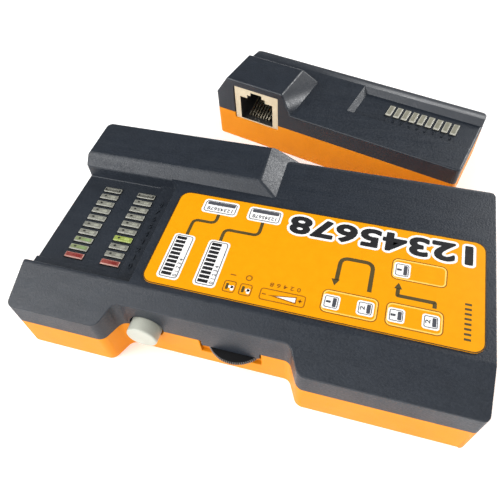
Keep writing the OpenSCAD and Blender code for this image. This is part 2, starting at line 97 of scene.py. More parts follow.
def noise(nt, tc, scale, detail=3.0, rough=0.55, distortion=0.0, stretch=None):
    n = nt.nodes.new("ShaderNodeTexNoise")
    n.inputs["Scale"].default_value = scale
    n.inputs["Detail"].default_value = detail
    n.inputs["Roughness"].default_value = rough
    n.inputs["Distortion"].default_value = distortion
    if stretch:
        mp = nt.nodes.new("ShaderNodeMapping")
        mp.inputs["Scale"].default_value = stretch
        mp.inputs["Rotation"].default_value = (0.1, 0.2, 0.6)
        nt.links.new(tc.outputs["Object"], mp.inputs["Vector"])
        nt.links.new(mp.outputs[0], n.inputs["Vector"])
    else:
        nt.links.new(tc.outputs["Object"], n.inputs["Vector"])
    return n.outputs["Fac"]


def ramp(nt, fac, stops, interp="LINEAR"):
    r = nt.nodes.new("ShaderNodeValToRGB")
    r.color_ramp.interpolation = interp
    e = r.color_ramp.elements
    while len(e) < len(stops):
        e.new(0.5)
    for el, (pos, col) in zip(e, stops):
        el.position = pos
        el.color = (*col, 1.0) if len(col) == 3 else col
    nt.links.new(fac, r.inputs[0])
    return r.outputs[0]


def maprange(nt, fac, a, b, lo=0.0, hi=1.0):
    r = nt.nodes.new("ShaderNodeMapRange")
    r.inputs["From Min"].default_value = lo
    r.inputs["From Max"].default_value = hi
    r.inputs["To Min"].default_value = a
    r.inputs["To Max"].default_value = b
    nt.links.new(fac, r.inputs["Value"])
    return r.outputs[0]


def math2(nt, op, a, b):
    n = nt.nodes.new("ShaderNodeMath")
    n.operation = op
    for i, v in enumerate((a, b)):
        if isinstance(v, (int, float)):
            n.inputs[i].default_value = v
        else:
            nt.links.new(v, n.inputs[i])
    return n.outputs[0]


def bump(nt, b, heights):
    """heights: [(socket, strength, distance in m)], chained."""
    last = None
    for h, s, d in heights:
        n = nt.nodes.new("ShaderNodeBump")
        n.inputs["Strength"].default_value = s
        n.inputs["Distance"].default_value = d
        nt.links.new(h, n.inputs["Height"])
        if last is not None:
            nt.links.new(last, n.inputs["Normal"])
        last = n.outputs[0]
    nt.links.new(last, b.inputs["Normal"])


def plastic(name, lo, hi, rough=(0.42, 0.55), grain=2600, depth=0.00003, strength=0.35,
            ior=1.46, mottle=260, scuff=0.06):
    """Moulded plastic: slow colour drift, fine speckle, spark-eroded grain, faint scuffs."""
    m, nt, b, tc = mat_new(name)
    drift = noise(nt, tc, mottle, 4, 0.6)
    fine = noise(nt, tc, grain, 2, 0.5)
    both = math2(nt, "ADD", math2(nt, "MULTIPLY", drift, 0.6), math2(nt, "MULTIPLY", fine, 0.4))
    nt.links.new(ramp(nt, both, [(0.32, lo), (0.68, hi)]), b.inputs["Base Color"])
    sc = noise(nt, tc, 60, 6, 0.7, 0.4, stretch=(1.0, 9.0, 1.0))
    rr = math2(nt, "ADD", maprange(nt, fine, rough[0], rough[1], 0.3, 0.7),
               maprange(nt, sc, -scuff, scuff, 0.35, 0.7))
    nt.links.new(rr, b.inputs["Roughness"])
    b.inputs["IOR"].default_value = ior
    bump(nt, b, [(fine, strength, depth), (drift, 0.10, 0.00008)])
    return m


def metal(name, lo, hi, rough=(0.2, 0.35), scale=900, stretch=(1, 8, 1)):
    m, nt, b, tc = mat_new(name)
    n1 = noise(nt, tc, scale, 4, 0.6, stretch=stretch)
    n2 = noise(nt, tc, scale * 0.3, 3, 0.6)
    nt.links.new(ramp(nt, n2, [(0.3, lo), (0.7, hi)]), b.inputs["Base Color"])
    nt.links.new(maprange(nt, n1, rough[0], rough[1], 0.3, 0.7), b.inputs["Roughness"])
    b.inputs["Metallic"].default_value = 1.0
    bump(nt, b, [(n1, 0.15, 0.00001)])
    return m


def ink(name, lo, hi, rough=(0.30, 0.42), ior=1.45):
    """Screen-printed ink on film: slight density change and a soft satin surface."""
    m, nt, b, tc = mat_new(name)
    n1 = noise(nt, tc, 420, 4, 0.6)
    n2 = noise(nt, tc, 5200, 2, 0.5)
    nt.links.new(ramp(nt, n1, [(0.3, lo), (0.7, hi)]), b.inputs["Base Color"])
    nt.links.new(maprange(nt, n2, rough[0], rough[1], 0.3, 0.7), b.inputs["Roughness"])
    b.inputs["IOR"].default_value = ior
    bump(nt, b, [(n2, 0.08, 0.000008)])
    return m


def lamp(name, lo, hi, rough=(0.16, 0.3), emit=None, strength=0.0, alpha_in=0.0):
    """Cast epoxy lens: cloudy colour, glossy moulded skin."""
    m, nt, b, tc = mat_new(name)
    n1 = noise(nt, tc, 700, 3, 0.5)
    n2 = noise(nt, tc, 2400, 2, 0.5)
    nt.links.new(ramp(nt, n1, [(0.3, lo), (0.7, hi)]), b.inputs["Base Color"])
    nt.links.new(maprange(nt, n2, rough[0], rough[1], 0.3, 0.7), b.inputs["Roughness"])
    b.inputs["IOR"].default_value = 1.5
    if alpha_in:
        b.inputs["Subsurface Weight"].default_value = alpha_in
        b.inputs["Subsurface Radius"].default_value = (0.001, 0.001, 0.0008)
        b.inputs["Subsurface Scale"].default_value = 0.5
    if emit:
        b.inputs["Emission Color"].default_value = (*emit, 1)
        b.inputs["Emission Strength"].default_value = strength
    bump(nt, b, [(n2, 0.1, 0.00002)])
    return m


MAT = {
    "dark": plastic("case_dark", (0.0085, 0.0125, 0.0195), (0.0150, 0.0205, 0.0300), rough=(0.38, 0.54),
                    grain=2100, depth=0.00006, strength=0.85, ior=1.50),
    "orange": plastic("case_orange", (0.74, 0.246, 0.004), (0.80, 0.280, 0.006), rough=(0.42, 0.52),
                      grain=3000, depth=0.00002, strength=0.25, ior=1.26, mottle=160),
    "label": ink("label_orange", (0.76, 0.300, 0.001), (0.80, 0.322, 0.002), rough=(0.38, 0.50), ior=1.22),
    "white_ink": ink("ink_white", (0.84, 0.83, 0.82), (0.92, 0.91, 0.90)),
    "black_ink": ink("ink_black", (0.012, 0.012, 0.014), (0.020, 0.020, 0.022), rough=(0.26, 0.38)),
    "grey_ink": ink("ink_grey", (0.055, 0.058, 0.070), (0.075, 0.078, 0.092)),
    "olive_ink": ink("ink_olive", (0.070, 0.050, 0.014), (0.092, 0.066, 0.020)),
    "brown_ink": ink("ink_brown", (0.250, 0.085, 0.004), (0.310, 0.110, 0.006)),
    "pale_ink": ink("ink_pale", (0.97, 0.56, 0.10), (0.99, 0.62, 0.14)),
    "edge_ink": ink("ink_edge", (0.050, 0.024, 0.004), (0.070, 0.034, 0.006)),
    "ivory": plastic("jack_ivory", (0.60, 0.52, 0.36), (0.70, 0.62, 0.45), rough=(0.36, 0.46),
                     grain=3600, depth=0.000012, strength=0.2, mottle=420),
    # near black inside the sockets: painted shade in the cavity
    "cavity_painted_shade": plastic("jack_inside_painted_shade", (0.020, 0.020, 0.021), (0.032, 0.032, 0.034), rough=(0.35, 0.5),
                      grain=3000, depth=0.00002, strength=0.2),
    "gold": metal("contact_gold", (0.80, 0.72, 0.54), (0.92, 0.84, 0.66), rough=(0.18, 0.32)),
    "tin": metal("tinned_lead", (0.62, 0.62, 0.62), (0.74, 0.74, 0.74)),
    "steel": metal("screw_steel", (0.44, 0.45, 0.47), (0.58, 0.59, 0.61), rough=(0.28, 0.42)),
    "button": plastic("button_white", (0.46, 0.47, 0.40), (0.52, 0.53, 0.46), rough=(0.32, 0.42),
                      grain=3200, depth=0.00001, strength=0.15, mottle=300),
    "wheel": plastic("wheel_black", (0.0025, 0.0025, 0.003), (0.005, 0.005, 0.006), rough=(0.55, 0.68),
                     grain=3000, depth=0.00003, strength=0.4, ior=1.34),
    "black": plastic("part_black", (0.010, 0.010, 0.011), (0.017, 0.017, 0.018), rough=(0.4, 0.55)),
    "board": plastic("board_green", (0.010, 0.085, 0.030), (0.016, 0.115, 0.042), rough=(0.22, 0.34),
                     grain=1500, depth=0.00002, strength=0.15, mottle=600),
    "battery": plastic("battery_skin", (0.016, 0.018, 0.024), (0.026, 0.028, 0.036), rough=(0.2, 0.3)),
    "rotor": plastic("rotor_cream", (0.60, 0.57, 0.46), (0.68, 0.65, 0.54)),
    "brown": plastic("control_body", (0.06, 0.038, 0.022), (0.085, 0.055, 0.032)),
    "red_wire": plastic("wire_red", (0.42, 0.012, 0.010), (0.5, 0.02, 0.015), rough=(0.28, 0.4)),
    "tan": plastic("resistor_tan", (0.50, 0.33, 0.17), (0.60, 0.42, 0.23), rough=(0.25, 0.38)),
    "sleeve": plastic("capacitor_sleeve", (0.012, 0.016, 0.06), (0.02, 0.026, 0.085), rough=(0.22, 0.34)),
    "diode": plastic("diode_glass", (0.42, 0.12, 0.03), (0.52, 0.17, 0.05), rough=(0.12, 0.2)),
    "lens": lamp("lens_clear", (0.165, 0.165, 0.140), (0.215, 0.215, 0.185)),
    "lens_in": lamp("lens_cup", (0.26, 0.265, 0.215), (0.34, 0.345, 0.285), rough=(0.25, 0.4)),
    # lighter rim colour: painted highlight for the clear lamps' rounded edges and front edge
    "lens_rim": lamp("lens_rim", (0.30, 0.30, 0.26), (0.38, 0.38, 0.33)),
    "lens_r": lamp("lens_remote", (0.24, 0.235, 0.185), (0.30, 0.29, 0.235)),
    "lens_r_in": lamp("lens_remote_cup", (0.20, 0.195, 0.150), (0.25, 0.24, 0.19)),
    # lighter rim colour: painted highlight for the remote lamps' edges
    "lens_r_rim": lamp("lens_remote_edge_highlight", (0.36, 0.35, 0.30), (0.46, 0.45, 0.38)),
    "lens_green": lamp("lens_lit", (0.22, 0.27, 0.055), (0.28, 0.335, 0.08), emit=(0.42, 0.56, 0.12), strength=0.05),
    "lens_green_in": lamp("lens_lit_core", (0.34, 0.41, 0.12), (0.42, 0.49, 0.17), emit=(0.5, 0.66, 0.2), strength=0.05),
    "lens_tint": lamp("lens_tint", (0.185, 0.215, 0.105), (0.235, 0.270, 0.145)),
    "lens_tint_in": lamp("lens_tint_cup", (0.17, 0.26, 0.10), (0.22, 0.33, 0.14)),
    "lens_red": lamp("lens_red", (0.22, 0.048, 0.040), (0.29, 0.066, 0.054)),
    "lens_red_in": lamp("lens_red_cup", (0.18, 0.020, 0.018), (0.23, 0.03, 0.026)),
    # lighter rim colour: painted highlight for the red lamps' edges
    "lens_red_rim": lamp("lens_red_rim", (0.50, 0.26, 0.22), (0.58, 0.33, 0.28)),
    # near black: the LED chip spot, and painted shadow on the lamps' sides
    "die_and_side_shade": lamp("lamp_die_and_side_shade", (0.012, 0.012, 0.010), (0.03, 0.03, 0.025), rough=(0.4, 0.5)),
}

# paler colour on the outer tips of the wheel's teeth, mixed in by distance from the axis
wl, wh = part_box("speed_wheel")
_m = MAT["wheel"]
_nt = _m.node_tree
_b = next(n for n in _nt.nodes if n.type == "BSDF_PRINCIPLED")
_tc = _nt.nodes.new("ShaderNodeTexCoord")
_v = _nt.nodes.new("ShaderNodeVectorMath")
_v.operation = "SUBTRACT"
_v.inputs[1].default_value = ((wl.x + wh.x) / 2, (wl.y + wh.y) / 2, 0.0)
_nt.links.new(_tc.outputs["Object"], _v.inputs[0])
_s = _nt.nodes.new("ShaderNodeVectorMath")
_s.operation = "MULTIPLY"
_s.inputs[1].default_value = (1.0, 1.0, 0.0)
_nt.links.new(_v.outputs["Vector"], _s.inputs[0])
_l = _nt.nodes.new("ShaderNodeVectorMath")
_l.operation = "LENGTH"
_nt.links.new(_s.outputs["Vector"], _l.inputs[0])
_r = (wh.x - wl.x) / 2
_f = maprange(_nt, _l.outputs["Value"], 0.0, 1.0, _r - 0.00022, _r - 0.00004)
_old = _b.inputs["Base Color"].links[0].from_socket
_mx = _nt.nodes.new("ShaderNodeMix")
_mx.data_type = "RGBA"
_nt.links.new(_f, _mx.inputs[0])
_nt.links.new(_old, _mx.inputs[6])
_mx.inputs[7].default_value = (0.20, 0.20, 0.19, 1.0)
_nt.links.new(_mx.outputs[2], _b.inputs["Base Color"])

NODE_MAT = {
    "main_top_shell": "dark", "remote_top_shell": "dark", "main_bottom_shell": "orange",
    "remote_bottom_shell": "orange", "battery_door": "orange", "front_label": "label",
    "main_pcb": "board", "remote_pcb": "board", "rx_jack_housing": "ivory", "tx_jack_housing": "ivory",
    "remote_jack_housing": "ivory", "rx_jack_contacts": "gold", "tx_jack_contacts": "gold",
    "remote_jack_contacts": "gold", "rx_leds": "lens", "tx_leds": "lens", "remote_leds": "lens_r",
    "rx_end_led": "lens_red", "tx_end_led": "lens_red", "power_button": "button",
    "switch_plunger": "black", "switch_housing": "black", "speed_wheel": "wheel", "pot_rotor": "rotor",
    "pot_body": "brown", "battery_case": "battery", "battery_snap": "black", "battery_lead_black": "black",
    "battery_lead_red": "red_wire", "controller_chip": "black", "timer_chip": "black",
    "resistors": "tan", "capacitors": "sleeve", "remote_diodes": "diode",
    "wheel_screw": "steel", "case_screws": "steel", "pcb_screws": "steel",
    "remote_case_screws": "steel", "remote_pcb_screws": "steel", "switch_spring": "steel",
}
for name, o in NODES.items():
    o.data.materials.clear()
    o.data.materials.append(MAT[NODE_MAT.get(name, "tin")])

# ---------------------------------------------------------------- mesh helpers
BODY_OF = {n: b for b, ns in frame["record"]["behaviour"]["bodies"].items() for n in ns}


def make(name, bm, mats, body, replaces=(), smooth=True):
    me = bpy.data.meshes.new(name)
    bm.normal_update()
    bm.to_mesh(me)
    bm.free()
    for m in mats:
        me.materials.append(MAT[m])
    if smooth:
        me.polygons.foreach_set("use_smooth", [True] * len(me.polygons))
    me.update()
    o = bpy.data.objects.new(name, me)
    bpy.context.scene.collection.objects.link(o)
    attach(o, body)
    if replaces:
        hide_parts(*replaces)
    return o


def all_tree():
    verts, tris = [], []
    for o in NODES.values():
        base = len(verts)
        verts.extend(v.co.copy() for v in o.data.vertices)
        o.data.calc_loop_triangles()
        tris.extend(tuple(base + i for i in t.vertices) for t in o.data.loop_triangles)
    return BVHTree.FromPolygons(verts, tris)


TREE = all_tree()
REPAIRS = []
DIRS = []
for i in range(40):
    z = 1 - (i + 0.5) / 20
    r = math.sqrt(1 - z * z)
    a = i * 2.39996
    DIRS.append(Vector((r * math.cos(a), r * math.sin(a), z)))


def open_share(p, n):
    """Share of the half sphere about n from which the point can be seen from outside."""
    hit = tot = 0
    for d in DIRS:
        if d.dot(n) < 0.15:
            continue
        tot += 1
        if TREE.ray_cast(p, d, 0.12)[0] is None:
            hit += 1
    return hit / max(tot, 1)


def crossings(pts, n):
    """Points where the outline of a flat face crosses itself."""
    ax = Vector((1, 0, 0)) if abs(n.x) < 0.8 else Vector((0, 1, 0))
    u = n.cross(ax).normalized()
    v = n.cross(u)
    q = [(p.dot(u), p.dot(v)) for p in pts]
    out, m = [], len(q)
    for i in range(m):
        a, b = q[i], q[(i + 1) % m]
        for j in range(i + 2, m):
            if i == 0 and j == m - 1:
                continue
            c, d = q[j], q[(j + 1) % m]
            r = (b[0] - a[0], b[1] - a[1])
            t = (d[0] - c[0], d[1] - c[1])
            den = r[0] * t[1] - r[1] * t[0]
            if abs(den) < 1e-16:
                continue
            k = ((c[0] - a[0]) * t[1] - (c[1] - a[1]) * t[0]) / den
            l = ((c[0] - a[0]) * r[1] - (c[1] - a[1]) * r[0]) / den
            if 1e-4 < k < 1 - 1e-4 and 1e-4 < l < 1 - 1e-4:
                out.append(pts[i].lerp(pts[(i + 1) % m], k))
    return out


def softened(node, name, weight, mats=None, face_mat=None, width=1.0, segments=3):
    """A copy of a CAD node, cleaned to whole faces, with its visible edges rounded.

    weight(mid, edge, convex, angle) gives the rounding in mm, or 0. Edges that run on
    from one another share one rounding, and any spot where the rounding would leave the
    moulded surface is put back to a plain edge."""
    src = NODES[node]
    bm = bmesh.new()
    bm.from_mesh(src.data)
    bmesh.ops.remove_doubles(bm, verts=bm.verts, dist=2e-6)
    bmesh.ops.dissolve_limit(bm, angle_limit=math.radians(0.6), verts=bm.verts, edges=bm.edges,
                             use_dissolve_boundaries=False)
    bm.normal_update()
    bm.edges.ensure_lookup_table()
    lay = bm.edges.layers.float.new("bevel_weight_edge")
    want, seen = {}, {}
    for e in bm.edges:
        if len(e.link_faces) != 2:
            e.smooth = False
            continue
        ang = math.degrees(e.calc_face_angle(0.0))
        if ang < 12:
            continue
        mid = (e.verts[0].co + e.verts[1].co) / 2
        n = (e.link_faces[0].normal + e.link_faces[1].normal)
        n = n.normalized() if n.length > 1e-6 else e.link_faces[0].normal
        w = weight(mid, e, e.is_convex, ang)
        if w > 0:
            want[e.index] = w
            seen[e.index] = open_share(mid + n * 0.0003, n) > 0.12
        elif ang > 32 or min(f.calc_area() for f in e.link_faces) > 0.0012 * e.calc_length():
            e.smooth = False                           # a crease between two flat faces
    root = {i: i for i in want}

    def top(i):
        while root[i] != i:
            i = root[i]
        return i

    for v in bm.verts:
        es = [e for e in v.link_edges if e.index in want]
        for i, p in enumerate(es):
            for q in es[i + 1:]:
                d1 = (p.other_vert(v).co - v.co).normalized()
                d2 = (q.other_vert(v).co - v.co).normalized()
                if d1.dot(d2) < -0.72 and p.is_convex == q.is_convex:
                    root[top(p.index)] = top(q.index)
    runs = {}
    for i in want:
        runs.setdefault(top(i), []).append(i)
    for run in runs.values():
        ln = [bm.edges[i].calc_length() for i in run]
        if sum(l for i, l in zip(run, ln) if seen[i]) < 0.25 * sum(ln):
            for i in run:
                bm.edges[i].smooth = False
            continue
        w = min(want[i] for i, l in zip(run, ln) if l > 0.2 * max(ln))
        for i in run:
            bm.edges[i][lay] = w / width
    if face_mat:
        for f in bm.faces:
            f.material_index = face_mat(f.calc_center_median(), f)
    ends = [(e.verts[0].co.copy(), e.verts[1].co.copy()) for e in bm.edges]
    o = make(name, bm, mats or [NODE_MAT[node]], BODY_OF[node], (node,))
    bv = o.modifiers.new("round", "BEVEL")
    bv.width = width * MM
    bv.segments = segments
    bv.limit_method = "WEIGHT"
    bv.use_clamp_overlap = False
    bv.miter_outer = "MITER_SHARP"
    bv.harden_normals = False
    src.data.calc_loop_triangles()
    tree = BVHTree.FromPolygons([v.co for v in src.data.vertices],
                                [tuple(t.vertices) for t in src.data.loop_triangles])
    att = o.data.attributes["bevel_weight_edge"].data
    for turn in range(10):
        bpy.context.view_layer.update()
        ev = o.evaluated_get(bpy.context.evaluated_depsgraph_get()).to_mesh()
        bad = [v.co.copy() for v in ev.vertices if tree.find_nearest(v.co)[3] > 0.00026]
        for f in ev.polygons:
            pts = [ev.vertices[i].co for i in f.vertices]
            if len(pts) > 3 and f.area > 1e-9:
                bad.extend(crossings(pts, f.normal))
            if f.area > 2e-8:
                hit = tree.find_nearest(f.center)
                if hit[3] < 0.0001 and f.normal.dot(hit[1]) < -0.2 and len(pts) < 8:
                    bad.extend(p.copy() for p in pts)
        if not bad:
            break
        for i, (p, q) in enumerate(ends):
            if att[i].value > 0 and (turn > 4 or (q - p).length < 0.003):
                for x in bad:
                    k = max(0.0, min(1.0, (x - p).dot(q - p) / max((q - p).length_squared, 1e-12)))
                    if (p + (q - p) * k - x).length < 0.0008:
                        att[i].value = 0.0
                        o.data.edges[i].use_edge_sharp = True
                        REPAIRS.append((name, x, (p - q).length))
                        break
        o.data.update()
    wn = o.modifiers.new("flat", "WEIGHTED_NORMAL")
    wn.keep_sharp = True
    wn.mode = "FACE_AREA_WITH_ANGLE"
    return o


def near(a, b, t=0.02):
    return abs(a - b) < t


# ---------------------------------------------------------------- main shells
def w_main_top(mid, e, convex, ang):
    p = to_main(mid)
    if near(p.z, PART_Z / MM, 0.05) and near(e.verts[0].co.z, e.verts[1].co.z, 1e-5):
        return 0.07
    if near(p.z, 21.0) and near(p.y, 10.0):           # crease between deck and front slope
        return 0.4
    if p.x < 27.6 and 10.8 < p.y < 43.7 and near(p.z, 21.0):   # rim of the lamp recess
        return 0 if p.x > 25.2 and p.y > 42.4 else 0.4
    if p.y > 57.2 and 47 < p.x < 62:                   # where the ridge runs out at the back
        return 0
    if ang < 24:
        return 0
    if p.y > 56.4 and p.z < 20.8 and p.x < 46:        # socket openings
        return 0.2
    if near(p.z, 17.2, 0.06) and p.x < 22.5 and 14.4 < p.y < 40.5 and p.x > 6.5:
        return 0.12                                    # lamp openings
    if 15 < p.z < 18.2 and p.x < 28:                   # lamp recess steps
        return 0.22
    if not convex:
        return 0
    if p.x < 0.7 and p.z > 23.1:                       # small chamfer at the ridge's end
        return 0.2
    if p.y < 9 and 26 < p.x < 66 and p.z < 16.4:       # button and wheel openings
        return 0.15
    return 0.4 if p.y < 9 and p.z > 16 else 0.55


def w_main_bottom(mid, e, convex, ang):
    p = to_main(mid)
    if near(p.z, PART_Z / MM, 0.05) and near(e.verts[0].co.z, e.verts[1].co.z, 1e-5):
        return 0.07
    if ang < 24:
        return 0
    if p.y > 56.4 and 7 < p.z and p.x < 46:
        return 0.2
    if p.y < 9 and 26 < p.x < 66 and p.z > 4.5:
        return 0.16
    if p.x > 57 and 19 < p.y < 52 and p.z < 9.2:
        return 0.12
    if p.z < 3.3 and 0.02 < p.z:
        return 0.15
    if near(p.z, 0.0):
        # screw holes and the door's edge stay crisp, the outline is rounded
        edge = min(p.x, 107.5 - p.x, p.y + 0.45, 59.05 - p.y)
        if 19.5 < p.x < 73 and p.y < 8:
            return 0.5
        return 0.5 if edge < 4.0 and not (19 < p.y < 52 and p.x > 103.5) and not near_post(p) else 0.12
    if not convex:
        return 0
    return 0.5


def near_post(p):
    return any(math.hypot(p.x - a, p.y - b) < 2.9 for a, b in ((5.2, 5.2), (4.9, 51.9), (102.3, 5.2), (102.3, 54.3)))


softened("main_top_shell", "case_top", w_main_top)
softened("main_bottom_shell", "case_bottom", w_main_bottom)
softened("battery_door", "battery_cover", lambda m, e, c, a: 0.12 if a > 24 else 0)


# ---------------------------------------------------------------- remote shells
def w_rem_top(mid, e, convex, ang):
    p = to_rem(mid)
    if near(p.z, PART_Z / MM, 0.05) and near(e.verts[0].co.z, e.verts[1].co.z, 1e-5):
        return 0.07
    if near(p.y, 24.8, 0.05) and near(p.z, 15.9, 0.05) and not (41 < p.x):
        return 0.25
    if ang < 24:
        return 0
    if near(p.z, 14.2, 0.06) and 51 < p.x < 75 and 14 < p.y < 20:
        return 0.12
    if p.y < 4 and p.x < 24 and p.x > 6 and p.z < 20.8 and not near(p.z, 22.75, 0.3):
        return 0.18
    if not convex:
        return 0
    return 0.5


def w_rem_bottom(mid, e, convex, ang):
    p = to_rem(mid)
    if near(p.z, PART_Z / MM, 0.05) and near(e.verts[0].co.z, e.verts[1].co.z, 1e-5):
        return 0.07
    if ang < 24:
        return 0
    if p.y < 4 and 6 < p.x < 24 and p.z > 6:
        return 0.18
    if p.z < 3.3:
        edge = min(p.x + 0.6, 79.7 - p.x, p.y, 29.4 - p.y)
        return 0.45 if near(p.z, 0.0) and edge < 2.3 else 0.12
    if not convex:
        return 0
    return 0.45


softened("remote_top_shell", "remote_case_top", w_rem_top)
softened("remote_bottom_shell", "remote_case_bottom", w_rem_bottom)


# ---------------------------------------------------------------- sockets
def jack_piece(node, name, local):
    """local(point) gives x across, y into the socket, z up from the housing's underside, in mm."""
    # faces inside the socket get the near black painted shade
    def inside(c, f):
        p = local(c)
        return 1 if p.y > 0.55 and abs(p.x) < 6.2 and 1.0 < p.z < 12.0 and p.y < 12.6 else 0

    def weight(mid, e, convex, ang):
        p = local(mid)
        if ang < 24:
            return 0
        return 0.14 if p.y < 0.3 else 0

    return softened(node, name, weight, mats=["ivory", "cavity_painted_shade"], face_mat=inside)


PCB_Z = 7.6
jack_piece("rx_jack_housing", "rx_socket", lambda c: Vector((to_main(c).x - 15.9, 59.1 - to_main(c).y, to_main(c).z - PCB_Z)))
jack_piece("tx_jack_housing", "tx_socket", lambda c: Vector((to_main(c).x - 34.9, 59.1 - to_main(c).y, to_main(c).z - PCB_Z)))
jack_piece("remote_jack_housing", "remote_socket", lambda c: Vector((to_rem(c).x - 14.5, to_rem(c).y - 0.4, to_rem(c).z - PCB_Z)))


# ---------------------------------------------------------------- lamps
def lamp_piece(name, node, places, lengthwise, mats_at, body, top, low, kind):
    """Rectangular lamps: rounded lens whose edge carries a painted highlight and whose sides carry a painted shadow,
    the LED chip spot and the cup seen inside.
    """
    mats = []
    bm = bmesh.new()
    long, wide = 5.0, 1.62 if kind == "main" else 1.8

    def mi(m):
        if m not in mats:
            mats.append(m)
        return mats.index(m)

    for k, (conv, cx, cy) in enumerate(places):
        lens, cup, edge_highlight = mats_at(k)
        hx, hy = (long / 2, wide / 2) if lengthwise else (wide / 2, long / 2)

        def ringpts(a, b, r, z, n=3):
            out = []
            for sx, sy, a0 in ((1, 1, 0), (-1, 1, 90), (-1, -1, 180), (1, -1, 270)):
                for i in range(n + 1):
                    t = math.radians(a0 + 90 * i / n)
                    out.append(conv(cx + sx * (a - r) + r * math.cos(t), cy + sy * (b - r) + r * math.sin(t), z))
            return out

        def patch(pts, z, m):
            f = bm.faces.new([bm.verts.new(conv(cx + x, cy + y, z)) for x, y in pts])
            f.material_index = mi(m)

        levels = [(0.0, 0.14, low), (0.0, 0.14, top - 0.14), (0.05, 0.13, top - 0.04), (0.16, 0.12, top)]
        rings = [[bm.verts.new(p) for p in ringpts(hx - d, hy - d, r, z)] for d, r, z in levels]
        for j in range(len(rings) - 1):
            A, B = rings[j], rings[j + 1]
            n = len(A)
            for i in range(n):
                f = bm.faces.new([A[i], A[(i + 1) % n], B[(i + 1) % n], B[i]])
                # sides below the top edge are painted near black as painted shadow; the rounded top edge is painted
                # in the highlight colour
                f.material_index = mi("die_and_side_shade" if j == 0 else edge_highlight)
                f.smooth = j > 0
        f = bm.faces.new(rings[-1])
        f.material_index = mi(lens)
        z = top + 0.012
        if kind == "main":
            if k == 8:                                 # the last lamp looks darker, with two light bars
                patch(rr_pts(-hx + 0.2, -0.42, hx - 0.25, 0.42, 0.2), z - 0.004, "die_and_side_shade")
                patch(rr_pts(-1.9, 0.12, 1.8, 0.34, 0.1), z + 0.01, edge_highlight)
                patch(rr_pts(-1.7, -0.30, 1.9, -0.08, 0.1), z + 0.01, lens)
                continue
            if edge_highlight != "lens_red_rim":
                patch([(-1.12 + 0.34 * math.cos(t), 0.16 + 0.27 * math.sin(t))
                       for t in [i * math.pi / 7 for i in range(14)]], z + 0.01, "die_and_side_shade")
            # cup and post seen through the lens
            patch(rr_pts(0.35, -0.32, 1.75, 0.42, 0.3), z, cup)
            patch(rr_pts(-0.55, -0.02, 0.25, 0.14, 0.07), z, cup)
            # painted highlight along the front edge, where light is caught
            patch([(-hx + 0.14, -hy + 0.06), (hx - 0.2, -hy + 0.06), (hx - 0.3, -hy + 0.30), (-hx + 0.2, -hy + 0.36)], z, edge_highlight)
        else:
            patch(rr_pts(-hx + 0.36, -hy + 0.75, hx - 0.46, hy - 0.5, 0.18), z, cup)
            # painted highlights along the front, right and left edges
            patch([(-hx + 0.1, -hy + 0.06), (hx - 0.1, -hy + 0.06), (hx - 0.12, -hy + 0.55), (-hx + 0.12, -hy + 0.55)], z, edge_highlight)
            patch([(hx - 0.40, -hy + 0.6), (hx - 0.08, -hy + 0.6), (hx - 0.08, hy - 0.15), (hx - 0.40, hy - 0.3)], z, edge_highlight)
            patch([(-hx + 0.08, -hy + 0.6), (-hx + 0.24, -hy + 0.6), (-hx + 0.24, hy - 0.4), (-hx + 0.08, hy - 0.4)], z, edge_highlight)
    return make(name, bm, mats, body, (node,), smooth=False)


def rr_pts(u0, v0, u1, v1, r, n=6):
    out = []
    for cx, cy, a0 in ((u1 - r, v0 + r, -90), (u1 - r, v1 - r, 0), (u0 + r, v1 - r, 90), (u0 + r, v0 + r, 180)):
        for i in range(n + 1):
            t = math.radians(a0 + 90 * i / n)
            out.append((cx + r * math.cos(t), cy + r * math.sin(t)))
    return out


led_lo, led_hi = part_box("rx_leds")
rled_lo, rled_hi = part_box("remote_leds")
PITCH, LY0, LXS = 2.54, 16.67, (9.05, 18.95)
RLX, RLY, RPITCH = 52.93, 18.1, 2.52


def col(x, i0, i1):
    return [(M, x, LY0 + i * PITCH) for i in range(i0, i1 + 1)]


CLEAR = ("lens", "lens_in", "lens_rim")
GREEN = ("lens_green", "lens_green_in", "lens_green_in")
TINT = ("lens_tint", "lens_tint_in", "lens_rim")
RED = ("lens_red", "lens_red_in", "lens_red_rim")
top_mm, low_mm = led_hi.z / MM, led_lo.z / MM
lamp_piece("rx_lamps", "rx_leds", col(LXS[0], 1, 9), True, lambda k: TINT if k in (0, 1) else CLEAR, "main", top_mm, low_mm, "main")
lamp_piece("tx_lamps", "tx_leds", col(LXS[1], 1, 9), True, lambda k: GREEN if k == 2 else CLEAR, "main", top_mm, low_mm, "main")
lamp_piece("rx_end_lamp", "rx_end_led", col(LXS[0], 0, 0), True, lambda k: RED, "main", top_mm, low_mm, "main")
lamp_piece("tx_end_lamp", "tx_end_led", col(LXS[1], 0, 0), True, lambda k: RED, "main", top_mm, low_mm, "main")
lamp_piece("remote_lamps", "remote_leds", [(R, RLX + i * RPITCH, RLY) for i in range(9)], False,
           lambda k: ("lens_r", "lens_r_in", "lens_r_rim"), "remote", rled_hi.z / MM, rled_lo.z / MM, "remote")


